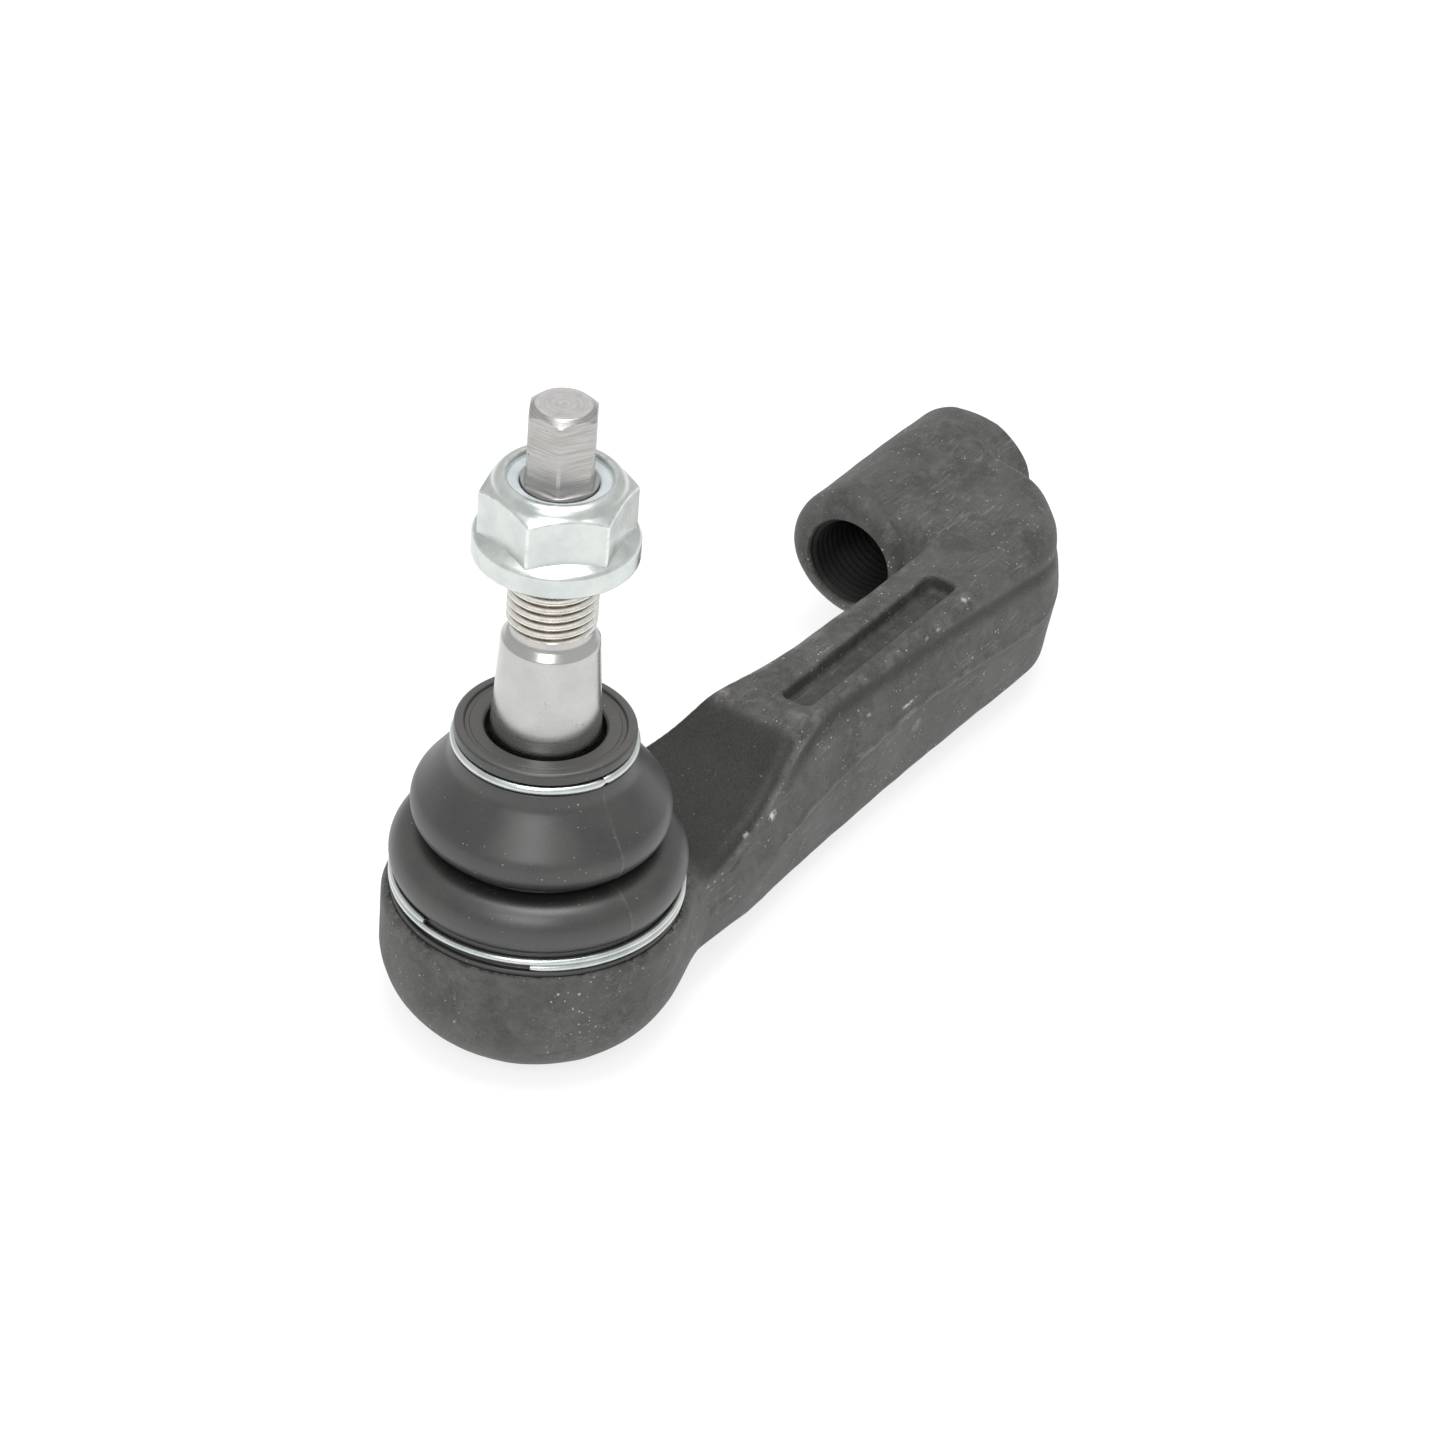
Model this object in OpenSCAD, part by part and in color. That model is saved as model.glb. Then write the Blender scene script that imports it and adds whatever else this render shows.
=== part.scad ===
// Tie rod end with a female rod thread.
// A forged housing holds a ball stud between two plastic seats. Its arm runs along +X and hooks back
// to a threaded boss. A rubber boot, two wire rings, and a flange nut with a nylon insert complete it.
// Millimetres. The origin is on the stud axis at the underside of the cover plate. +Z is up the stud.

/* [Housing] */
// Outer radius of the round ball housing
housing_r = 24.3; // [23.8:0.1:25]
// Height of the housing shoulder that the boot stands on
housing_h = 22.2; // [22:0.1:22.2]
// Radius of the flat at the bottom of the housing
base_r = 17.2; // [17:0.1:19]
// Height of the cone that runs up from that flat
base_cone_h = 7.3; // [4:0.1:9]
// Radius of the neck inside the boot
neck_r = 20.8; // [20:0.1:20.8]
// Top of the neck
neck_top = 26.4; // [25.5:0.1:26.6]

/* [Arm] */
// Height of the arm's flat top
arm_top = 33.1; // [31:0.1:34]
// Height of the arm's underside at its root
arm_bottom = 4.3; // [3.6:0.1:5]
// Length of the recess in the arm's top
recess_l = 44.5; // [30:0.5:44.5]
// Width of that recess
recess_w = 5; // [3:0.1:5.5]
// Depth of that recess
recess_d = 3; // [1.5:0.1:4]

/* [Rod boss] */
// X of the boss's near end
boss_x = 109; // [108:0.5:111]
// Length of the boss
boss_l = 40; // [38:0.5:44]
// Sideways offset of the boss axis from the stud axis
boss_y = 13.4; // [13:0.1:15]
// Height of the boss axis
boss_z = 20.5; // [20:0.1:21]
// Outer radius of the boss
boss_r = 12.6; // [12:0.1:13]
// Wall radius of the M16 x 1.5 rod thread
rod_thread_r = 7.2; // [6.2:0.05:7.8]

/* [Ball and seats] */
// Ball radius
ball_r = 12.7; // [12:0.1:12.7]
// Height of the ball centre
ball_z = 16; // [15.9:0.1:16.1]
// Running clearance between the ball and its seats
ball_gap = 0.05; // [0.02:0.01:0.1]
// Outer radius of the two plastic seats
seat_r = 16.2; // [15.5:0.1:16.2]

/* [Stud] */
// Radius of the stud's neck above the ball
stud_neck_r = 6.9; // [6.5:0.1:7]
// Radius of the land that the boot seals on
land_r = 8.95; // [8.9:0.01:8.96]
// Taper radius at its large end
taper_r = 8.88; // [8.8:0.01:8.9]
// Bottom of the 1 in 8 taper
taper_z = 49.5; // [49.5:0.1:50]
// Top of the taper
taper_top = 69.9; // [69:0.1:70.5]
// Outer radius of the M14 x 1.5 thread
thread_r = 6.97; // [6.9:0.01:6.98]
// Top of the thread
thread_top = 94.7; // [94:0.1:95]
// Overall height of the stud tip
tip_z = 111.4; // [109:0.1:112]
// Width across the flats of the hex on the tip
tip_af = 10; // [9:0.1:10.4]
// Radius of the round bar that the hex is milled on
tip_r = 5.6; // [5.4:0.05:5.8]
// Angle of the tip's hex about the stud
tip_turn = 31.8; // [0:0.1:60]

/* [Nut] */
// Height of the nut's underside
nut_z = 85.15; // [85.1:0.05:85.3]
// Width across the flats of the nut
nut_af = 21; // [21:0.5:22]
// Overall height of the nut
nut_h = 14; // [13.8:0.1:14.4]
// Radius of the flange
flange_r = 12.75; // [12.5:0.05:14]
// Height of the flange's straight edge
flange_edge = 3.9; // [2:0.1:4]
// Radius of the round collar over the nylon insert
collar_r = 10.15; // [10:0.05:10.3]
// Angle of the nut's hex about the stud
nut_turn = 13.4; // [0:0.1:60]

/* [Boot] */
// Outer radius of the lower bulge
bulge_lower_r = 23.35; // [23:0.05:23.6]
// Outer radius of the upper bulge
bulge_upper_r = 20.3; // [20:0.1:20.8]
// Wall thickness of the bellows
boot_wall = 2; // [1.6:0.1:2.2]
// Outer radius of the lip at the top
lip_r = 14.1; // [13.9:0.1:14.3]
// Height of the lip
lip_z = 54.1; // [53.5:0.1:54.4]

/* [Rings] */
// Wire radius of the lower ring
lower_wire_r = 0.55; // [0.5:0.05:0.6]
// Wire radius of the upper ring
upper_wire_r = 0.75; // [0.5:0.05:0.75]

/* [Hidden] */
$fn = 96;
step = 0.05;               // gap between parts that touch in one body
cover_r = 16.6;            // cover plate
cover_top = 3;
cavity_r = seat_r + step;
shoulder_z = 22.4;         // inner shoulder above the upper seat
mouth_r = 11.5;            // opening above the ball
mouth_top_r = 13;
boss_x1 = boss_x + boss_l;
hook_x = 118.4;            // centre of the hook's round outer corner
hook_y = 1;
hook_r = 21.2;
recess_x = 54.5;
recess_y = -11.2;
seat_split = 15;           // height between the two seats
nut_hex_top = 11.7;        // over the nut's underside
insert_bottom = 9.6;
insert_top = 12.9;
insert_r = 8.65;
insert_bore = 7.02;
crimp_r = 7.85;            // opening in the crimped collar
waist_z = 34.2;            // split between the two bellows
waist_r = 16.2;
neck_z = 44;               // split between the upper bellow and the neck
upper_ring_z = 51.15;
upper_ring_r = 13.9;
lower_ring_r = 22.75;      // centre radius of the lower ring's wire
lower_ring_z = 24.05;
forge_col = [0.25, 0.25, 0.26];
steel_col = [0.74, 0.74, 0.76];
zinc_col = [0.8, 0.83, 0.85];
rubber_col = [0.12, 0.12, 0.12];
seat_col = [0.85, 0.84, 0.8];
nylon_col = [0.55, 0.6, 0.5];
// arm sections: x, right side y, left side y, top z, bottom z
root_a = [6, -22, 21.5, 20.6, 6.6];
root_b = [29.5, -20.4, 10.7, 21.4, 6];
arm_a = [48, -19.1, 3.1, arm_top, arm_bottom - 0.4];
arm_b = [82, -19.5, -0.9, arm_top, arm_bottom + 0.3];
arm_c = [118.6, -19.9, -1, arm_top - 0.1, arm_bottom + 1.3];

// turns a flat outline of [radius, z] about the stud axis
module turned(points) rotate_extrude() polygon(points);

// points on an arc of the bellows, as [radius, z]
function arc(cr, cz, r, a0, a1, n) = [for (i = [0 : n]) let (a = a0 + (a1 - a0) * i / n)
    [cr + r * cos(a), cz + r * sin(a)]];

// one thin slice across the arm: drafted sides, chamfered edges
module slice(s) translate([s[0], 0, 0]) rotate([90, 0, 90]) linear_extrude(0.1) polygon([
    [s[1] + 4.3, s[3]], [s[1] + 2.2, s[3] - 1.7], [s[1], (s[3] + s[4]) / 2],
    [s[1] + 1.7, s[4] + 1.6], [s[1] + 3.1, s[4]], [s[2] - 3.1, s[4]], [s[2] - 1.7, s[4] + 1.6],
    [s[2], (s[3] + s[4]) / 2], [s[2] - 1.4, s[3] - 1.5], [s[2] - 2.2, s[3]]]);

module arm() {
    hull() { slice(root_a); slice(root_b); }
    hull() { slice(root_b); slice(arm_a); }
    hull() { slice(arm_a); slice(arm_b); }
    hull() { slice(arm_b); slice(arm_c); }
}

// outer wall of the hook as [distance out, z]: drafted, with rounded edges, set in by d
function hook_wall(d) = [[0, arm_bottom + 0.9 + d], [hook_r - 3.1 - d, arm_bottom + 0.9 + d],
    [hook_r - 1.7 - d, arm_bottom + 2.5 + d], [hook_r - d, (arm_top + arm_bottom + 0.9) / 2],
    [hook_r - 2.2 - d, arm_top - 1.7 - d], [hook_r - 4.2 - d, arm_top - 0.2 - d],
    [0, arm_top - 0.2 - d]];

// the hook rounds the corner, then runs straight until it ends over the boss axis
module hook() {
    translate([hook_x, hook_y, 0]) rotate([0, 0, -92]) rotate_extrude(angle = 92)
        polygon(hook_wall(0));
    translate([hook_x, hook_y + 11.5, 0]) rotate([90, 0, 0]) linear_extrude(12.5) polygon(hook_wall(0.1));
    // web that closes the slot between the arm and the boss, up to the boss's near face
    translate([boss_x + 0.6, -6, boss_z - 12.2]) cube([13.4, 18.2, 24.4]);
}

module boss() translate([boss_x, boss_y, boss_z]) rotate([0, 90, 0]) rotate_extrude() polygon([
    [0, 0], [boss_r - 2, 0], [boss_r - 0.6, 0.7], [boss_r, 2.4], [boss_r, boss_l - 2.2],
    [boss_r - 0.7, boss_l - 0.7], [boss_r - 2.2, boss_l], [0, boss_l]]);

module forged_housing() color(forge_col) difference() {
    union() {
        turned([[0, 0], [base_r, 0], [base_r + 0.4, 0.4], [housing_r - 0.6, base_cone_h - 1],
            [housing_r, base_cone_h + 1], [housing_r, housing_h - 1], [housing_r - 0.8, housing_h],
            [neck_r, housing_h], [neck_r, neck_top - 0.6], [neck_r - 0.6, neck_top], [0, neck_top]]);
        difference() {
            arm();
            // round clearance for the boot, cut down to the shoulder
            translate([0, 0, housing_h]) cylinder(h = 20, r1 = 26.2, r2 = 28.6);
        }
        hook();
        boss();
    }
    // ball cavity, open at the bottom for the seats and closed by the cover plate
    turned([[0, -1], [15.6, -1], [15.6, 0.8], [cover_r + step, 0.8], [cover_r + step, cover_top + step],
        [cavity_r, cover_top + step], [cavity_r, shoulder_z], [mouth_r, shoulder_z],
        [mouth_r, shoulder_z + 0.6], [mouth_top_r, neck_top + 1], [0, neck_top + 1]]);
    // rod thread right through the boss
    translate([boss_x - 1, boss_y, boss_z]) rotate([0, 90, 0]) cylinder(h = boss_l + 2, r = rod_thread_r);
    // recess in the arm's top
    translate([recess_x, recess_y, arm_top - recess_d]) linear_extrude(recess_d + 1) polygon([
        [1.2, -recess_w / 2], [recess_l - 1.2, -recess_w / 2], [recess_l, -recess_w / 2 + 1.2],
        [recess_l, recess_w / 2 - 1.2], [recess_l - 1.2, recess_w / 2], [1.2, recess_w / 2],
        [0, recess_w / 2 - 1.2], [0, -recess_w / 2 + 1.2]]);
}

// pressed disc with a raised pad, held by the rolled lip of the forging
module cover_plate() color(zinc_col)
    turned([[0, 0], [13, 0], [13.8, 0.85], [cover_r, 0.85], [cover_r, cover_top], [13.2, cover_top],
        [12, 2], [0, 2]]);

// coned disc spring under the lower seat
module preload_spring() color(steel_col)
    turned([[9, 4.1], [9.3, 3.5], [16, 3.1], [16, 3.8], [9.6, 4.9], [9.1, 4.9]]);

module lower_seat() color(seat_col) difference() {
    turned([[0, 5], [12.6, 5], [seat_r, 7.2], [seat_r, seat_split - 0.2], [0, seat_split - 0.2]]);
    translate([0, 0, ball_z]) sphere(r = ball_r + ball_gap);
}

module upper_seat() color(seat_col) difference() {
    turned([[0, seat_split + 0.2], [seat_r, seat_split + 0.2], [seat_r, shoulder_z - step],
        [0, shoulder_z - step]]);
    translate([0, 0, ball_z]) sphere(r = ball_r + ball_gap);
}

module ball_stud() color(steel_col) {
    // ball with a flat underneath
    difference() {
        translate([0, 0, ball_z]) sphere(r = ball_r);
        translate([0, 0, ball_z - 31.5]) cylinder(h = 20, r = 10);
    }
    // neck, sealing land, taper, undercut, thread and round shank
    turned([[0, ball_z], [stud_neck_r, ball_z], [stud_neck_r, 36], [7.4, 39.2], [land_r, 43.6],
        [land_r, taper_z - 0.1], [taper_r, taper_z], [7.6, taper_top], [6.7, taper_top + 1.25],
        [6.2, taper_top + 1.5], [6.2, taper_top + 2.7], [thread_r, taper_top + 3.5],
        [thread_r, thread_top - 0.9], [5.95, thread_top], [5.9, 98.3], [5.3, 98.9], [0, 98.9]]);
    // hex milled on round bar, chamfered at the top
    intersection() {
        rotate([0, 0, tip_turn]) translate([0, 0, 97.6])
            cylinder(h = tip_z - 97.6, r = tip_af / sqrt(3), $fn = 6);
        turned([[0, 96.6], [tip_r, 96.6], [tip_r, tip_z - 1.1], [4.35, tip_z], [4.35, tip_z + 1],
            [0, tip_z + 1]]);
    }
}

module boot_lower_bellow() color(rubber_col) {
    c = [bulge_lower_r - 4.6, 29.5];
    turned(concat([[neck_r + step, housing_h + step], [23, housing_h + step], [23, 23.3], [22.15, 23.4],
        [22.15, 25.6]], arc(c[0], c[1], 4.6, -46, 98, 24), [[waist_r, waist_z - 0.6],
        [waist_r - boot_wall, waist_z - 0.6], [waist_r - boot_wall + 0.2, waist_z - 2]],
        arc(c[0], c[1], 4.6 - boot_wall, 98, -40, 20), [[neck_r + step, 27]]));
}

module boot_upper_bellow() color(rubber_col) {
    c = [bulge_upper_r - 4.5, 39.1];
    turned(concat([[waist_r - boot_wall, waist_z - 0.5], [waist_r, waist_z - 0.5], [waist_r, waist_z + 0.25]],
        arc(c[0], c[1], 4.5, -84, 35.6, 24), [[17.9, neck_z - 0.05], [14.9, neck_z - 0.05]],
        arc(c[0], c[1], 4.5 - boot_wall, 30, -90, 20)));
}

module boot_neck() color(rubber_col)
    turned([[9, 44.6], [9.6, neck_z], [17.84, neck_z], [15.2, 47.5], [14.5, 48.8], [14.3, 50.3],
        [13.1, 50.3], [13.1, 52], [lip_r, 52.1], [lip_r, lip_z - 0.5], [lip_r - 0.5, lip_z],
        [12.7, lip_z], [12.4, lip_z - 0.5], [9.7, lip_z - 0.5], [9.35, lip_z - 0.8], [9.35, 50.6],
        [9, 50.3]]);

// two turns of wire in the boot's lower groove
module lower_ring() color(zinc_col) for (i = [0, 1])
    translate([0, 0, lower_ring_z + i * (2 * lower_wire_r + step)])
        rotate_extrude() translate([lower_ring_r, 0]) circle(r = lower_wire_r, $fn = 24);

module upper_ring() color(zinc_col)
    translate([0, 0, upper_ring_z]) rotate_extrude() translate([upper_ring_r, 0])
        circle(r = upper_wire_r, $fn = 24);

module flange_nut() color(zinc_col) translate([0, 0, nut_z]) difference() {
    union() {
        turned([[0, 0], [flange_r - 0.4, 0], [flange_r, 0.5], [flange_r, flange_edge - 0.4],
            [flange_r - 0.35, flange_edge], [10.2, 5.1], [0, 5.1]]);
        intersection() {
            rotate([0, 0, nut_turn]) translate([0, 0, 2])
                cylinder(h = nut_hex_top - 2, r = nut_af / sqrt(3), $fn = 6);
            turned([[0, 0], [13, 0], [13, nut_hex_top - 1.7], [10.2, nut_hex_top], [0, nut_hex_top]]);
        }
        turned([[0, 8], [collar_r, 8], [collar_r, 11.8], [collar_r - 0.3, 13], [collar_r - 0.9, 13.7],
            [9, nut_h], [0, nut_h]]);
    }
    turned([[0, -1], [7.6, -1], [7.6, 0], [7.03, 0.6], [7.03, insert_bottom - step],
        [insert_r + step, insert_bottom - step], [insert_r + step, insert_top + step],
        [crimp_r, insert_top + step], [crimp_r, 13.5], [8.3, nut_h], [8.3, nut_h + 1], [0, nut_h + 1]]);
}

module nylon_insert() color(nylon_col) translate([0, 0, nut_z])
    turned([[insert_bore, insert_bottom + 0.4], [7.4, insert_bottom], [insert_r, insert_bottom],
        [insert_r, insert_top], [7.4, insert_top], [insert_bore, insert_top - 0.4]]);

forged_housing();
cover_plate();
preload_spring();
lower_seat();
upper_seat();
ball_stud();
boot_lower_bellow();
boot_upper_bellow();
boot_neck();
lower_ring();
upper_ring();
flange_nut();
nylon_insert();
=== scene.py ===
import math

import bpy
import numpy as np
from mathutils import Matrix, Vector


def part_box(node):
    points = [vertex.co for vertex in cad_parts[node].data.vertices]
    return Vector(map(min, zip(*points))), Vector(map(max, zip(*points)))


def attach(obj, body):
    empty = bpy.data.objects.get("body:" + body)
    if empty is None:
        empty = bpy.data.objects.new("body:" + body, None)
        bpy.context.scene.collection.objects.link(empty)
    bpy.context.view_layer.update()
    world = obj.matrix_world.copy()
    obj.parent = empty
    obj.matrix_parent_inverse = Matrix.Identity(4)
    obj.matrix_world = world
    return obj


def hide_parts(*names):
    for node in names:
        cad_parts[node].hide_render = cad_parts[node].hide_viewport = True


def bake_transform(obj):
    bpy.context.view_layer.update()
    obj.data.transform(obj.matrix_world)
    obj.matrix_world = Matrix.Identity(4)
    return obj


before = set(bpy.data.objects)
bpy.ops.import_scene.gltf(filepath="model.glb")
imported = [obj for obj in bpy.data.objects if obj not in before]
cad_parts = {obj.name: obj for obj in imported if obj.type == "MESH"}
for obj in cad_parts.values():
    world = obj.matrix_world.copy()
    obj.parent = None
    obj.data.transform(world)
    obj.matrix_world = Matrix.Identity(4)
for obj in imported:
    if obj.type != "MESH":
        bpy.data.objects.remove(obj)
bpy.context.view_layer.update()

# The looks of the tie rod end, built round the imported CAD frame.
# Lengths are in millimetres up to the point where a mesh is made. The stud's axis is Z.
MM = 0.001


def low(node):
    """Lowest corner of a CAD node, in millimetres."""
    return np.array(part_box(node)[0]) / MM


def high(node):
    """Highest corner of a CAD node, in millimetres."""
    return np.array(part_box(node)[1]) / MM


# ---- sizes
# ball housing: its outside, the clearance round the boot, and its hollows
HOUSING_R = 24.3
SHOULDER_Z = 22.2
RIM_Z = 22.7
FOOT_R = 23.05
CLEAR_R, CLEAR_DRAFT = 26.2, 0.12
UNDERSIDE = (HOUSING_R, 7.3, 0.717, -0.697)
NECK_R = 20.8
NECK_TOP = 26.4
CAVITY = (16.25, 12.0, 10.4)
PLATE_SEAT = (16.65, 1.95, 1.1)
ROLLED_LIP_R, ROLLED_LIP_TOP = 15.6, 1.5
MOUTH = (11.5, 21.0, 23.0, 0.35)
# arm, with the groove and the flash ridge along its near side, and the recess in its top
ARM_START = 4.0
ARM_TOP = 33.1
ROOT_TOP = 21.4
DRAFT = math.tan(math.radians(7.5))
FLASH = 0.22
GROOVE_DEPTH, GROOVE_HALF = 0.55, 1.5
RIDGE_HEIGHT, RIDGE_HALF = 0.4, 0.65
SLOPE_POINT = (47.7, -16.3, 33.0)
SLOPE_NORMAL = (-0.55, 0.016, 0.835)
RECESS_X = (54.5, 99.0)
RECESS_Y = -11.2
RECESS_HALF = 2.45
RECESS_FLOOR = 30.1
RECESS_DRAFT = 0.14
# hook and rod boss
HOOK_X = 118.4
HOOK_Y = 1.0
HOOK_R = 21.2
BOSS_X = 109.0
BOSS_END = float(high("forged_housing")[0])
BOSS_Y = 13.4
BOSS_Z = 20.5
BOSS_R = 12.6
BORE_R = 7.95
BORE_MOUTH_R = 8.4
ROD_PITCH, ROD_CREST, ROD_ROOT = 1.5, 7.2, 8.0
SLEEVE_R = 8.3
SLEEVE_COLUMNS, SLEEVE_ROWS = 96, 8
# ball stud
BALL_R = 12.7
BALL_Z = 16.0
LAND_R = 8.95
TAPER_R = 8.88
TAPER_Z = 49.5
TAPER_TOP = 69.9
UNDERCUT_R = 6.2
PITCH = 1.5
THREAD_R = 6.97
THREAD_ROOT = 6.1
THREAD_Z = (72.6, 94.7)
SHANK_R = 5.88
TIP_Z = float(high("ball_stud")[2])
TIP_APOTHEM = 5.0
TIP_R = 5.6
TIP_TURN = 31.8
TIP_FOOT, TIP_RUN_OUT = 98.3, 0.7
STUD_COLUMNS, STUD_ROWS = 120, 12
# flange nut
NUT_Z = float(low("flange_nut")[2])
NUT_H = 14.0
NUT_APOTHEM = 10.5
NUT_TURN = 13.4
HEX_CHAMFER = (11.35, 11.75, 0.52, 0.854)
FLANGE_R = 12.75
FLANGE_TOP = (12.4, 3.95, 0.45, 0.893)
COLLAR_R = 10.15
NUT_BORE_R, NUT_BORE_MOUTH_R = 7.03, 7.75
POCKET = (8.7, 11.25, 1.7)
COLLAR_MOUTH = (7.85, 9.0, 13.3, 0.5)
# boot and its rings
LIP_Z = float(high("boot_neck")[2])
SPLIT_Z = float(high("boot_lower_bellow")[2])
SEAM_TURN = 253.5
SEAM_HALF = 1.2
LOWER_BULGE, LOWER_BULGE_R = (18.75, 29.5), 4.6
UPPER_BULGE, UPPER_BULGE_R = (15.8, 39.1), 4.5
BULGE_WALL = 2
LOWER_RING_Z = float(low("lower_ring")[2])
UPPER_RING_Z = float(low("upper_ring")[2] + high("upper_ring")[2]) / 2
LOWER_RING_R, LOWER_WIRE_R = 22.74, 0.54
UPPER_RING_R, UPPER_WIRE_R = 13.9, 0.72
WIRE_SIDES = 16
# nylon ring and cover plate, and the floor in metres
DISC_COLUMNS = 128
FLOOR_R, FLOOR_Z = 4, -0.0002


# ---- shape helpers
def full_turn(count):
    """Angles of a full turn in even steps."""
    return np.linspace(0, 2 * math.pi, count, endpoint=False)


def even_rings(rows, columns):
    """Rings with one radius and one height each, from (r, z) pairs."""
    rows = np.array(rows, float)
    return np.repeat(rows[:, :1], columns, 1), np.repeat(rows[:, 1:], columns, 1)


def round_max(a, b, r):
    """Where both a and b are inside, with a rounded edge of radius r."""
    return np.minimum(-r, np.maximum(a, b)) + np.hypot(np.maximum(a + r, 0), np.maximum(b + r, 0))


def round_min(a, b, r):
    """Where a or b is inside, with a fillet of radius r between them."""
    return -round_max(-a, -b, r)


def cone(rho, z, at_r, at_z, out, up):
    """Distance past a cone about Z through (at_r, at_z), with its outward normal (out, up)."""
    return out * (rho - at_r) + up * (z - at_z)


def pocket(rho, z, r, middle, half):
    """A round hollow of radius r, half high each way from its middle."""
    return np.maximum(rho - r, np.abs(z - middle) - half)


def mouth(rho, z, r, bottom, flare_z, flare):
    """A round hollow of radius r from its bottom up, which opens out above flare_z."""
    return np.maximum(rho - r - flare * np.maximum(z - flare_z, 0), bottom - z)


def smooth_step(x, start, end):
    """0 before start, 1 after end, smooth between."""
    t = np.clip((x - start) / (end - start), 0, 1)
    return t * t * (3 - 2 * t)


def smooth_line(*points):
    """A function of x that runs smoothly through the given (x, value) points."""
    xs, values = np.array(points, float).T
    slopes = np.gradient(values, xs)

    def line(x):
        i = np.clip(np.searchsorted(xs, x) - 1, 0, len(xs) - 2)
        width = xs[i + 1] - xs[i]
        t = np.clip((x - xs[i]) / width, 0, 1)
        rise = values[i] * (1 + 2 * t) * (1 - t) ** 2 + values[i + 1] * t * t * (3 - 2 * t)
        return rise + width * (slopes[i] * t * (1 - t) ** 2 - slopes[i + 1] * t * t * (1 - t))

    return line


def gradient(field, p, h):
    """Direction in which a field grows, at points p, by differences over h."""
    out = np.empty_like(p)
    for axis in range(3):
        step = np.zeros(3)
        step[axis] = h
        out[:, axis] = field(*(p + step).T) - field(*(p - step).T)
    return out / np.maximum(np.linalg.norm(out, axis=1, keepdims=True), 1e-9)


def bulge(field, points, reach):
    """How a surface bends at its points: above 0 on an edge that stands out, below 0 in a hollow."""
    total = -6 * field(*points.T)
    for axis in range(3):
        for step in (-reach, reach):
            shift = np.zeros(3)
            shift[axis] = step
            total = total + field(*(points + shift).T)
    return total / reach ** 2


def surface_of(field, lowest, highest, step):
    """Closed mesh of where a field is zero.
    Each point is set by the normals of the surface round it, so edges stay crisp."""
    axes = [np.arange(lowest[i], highest[i] + step, step) for i in range(3)]
    shape = np.array([len(a) for a in axes])
    value = field(*np.meshgrid(*axes, indexing="ij", sparse=True)) + np.zeros(shape)
    points, around, flips = [], [], []
    for a in range(3):
        b, c = (a + 1) % 3, (a + 2) % 3
        first = np.moveaxis(value, a, 0)[:-1] < 0
        second = np.moveaxis(value, a, 0)[1:] < 0
        at = np.argwhere(np.moveaxis(first != second, 0, a))
        start = np.stack([axes[i][at[:, i]] for i in range(3)], 1)
        near, far = np.zeros(len(at)), np.full(len(at), step)
        inside = value[tuple(at.T)] < 0
        for _ in range(9):
            middle = (near + far) / 2
            p = start.copy()
            p[:, a] += middle
            same = (field(*p.T) < 0) == inside
            near, far = np.where(same, middle, near), np.where(same, far, middle)
        points.append(p)
        corners = []
        for back_b, back_c in ((1, 1), (0, 1), (0, 0), (1, 0)):
            cell = at.copy()
            cell[:, b] -= back_b
            cell[:, c] -= back_c
            corners.append(np.ravel_multi_index(cell.T, shape))
        around.append(np.stack(corners, 1))
        flips.append(~inside)
    points, around, flips = np.concatenate(points), np.concatenate(around), np.concatenate(flips)
    normals = gradient(field, points, step * 0.04)
    cells, index = np.unique(around, return_inverse=True)
    index = index.reshape(around.shape)
    owner, n, p = index.T.ravel(), np.tile(normals, (4, 1)), np.tile(points, (4, 1))

    def total(weights):
        return np.bincount(owner, weights, len(cells))

    count = total(np.ones(len(owner)))
    centre = np.stack([total(p[:, i]) for i in range(3)], 1) / count[:, None]
    matrix = np.stack([total(n[:, i] * n[:, j]) for i in range(3) for j in range(3)], 1).reshape(-1, 3, 3)
    away = np.einsum("ij,ij->i", n, p - centre[owner])
    target = np.stack([total(n[:, i] * away) for i in range(3)], 1)
    matrix += np.eye(3) * 0.06 * count[:, None, None] / 4
    moved = np.linalg.solve(matrix, target[:, :, None])[:, :, 0]
    corner = np.stack(np.unravel_index(cells, shape), 1) * step + np.array([a[0] for a in axes])
    found = np.clip(centre + moved, corner, corner + step)
    faces = np.where(flips[:, None], index[:, ::-1], index)
    return found, faces.tolist()


def welded(points, faces):
    """Joins points that lie together and drops the faces that close up."""
    key = np.round(points * 2e4).astype(np.int64)
    _, first, index = np.unique(key, axis=0, return_index=True, return_inverse=True)
    index = index.ravel()
    kept = []
    for face in faces:
        ring = [index[i] for i in face]
        ring = [ring[k] for k in range(len(ring)) if ring[k] != ring[k - 1]]
        if len(set(ring)) == len(ring) and len(ring) > 2:
            kept.append(ring)
    return points[first], kept


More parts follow.
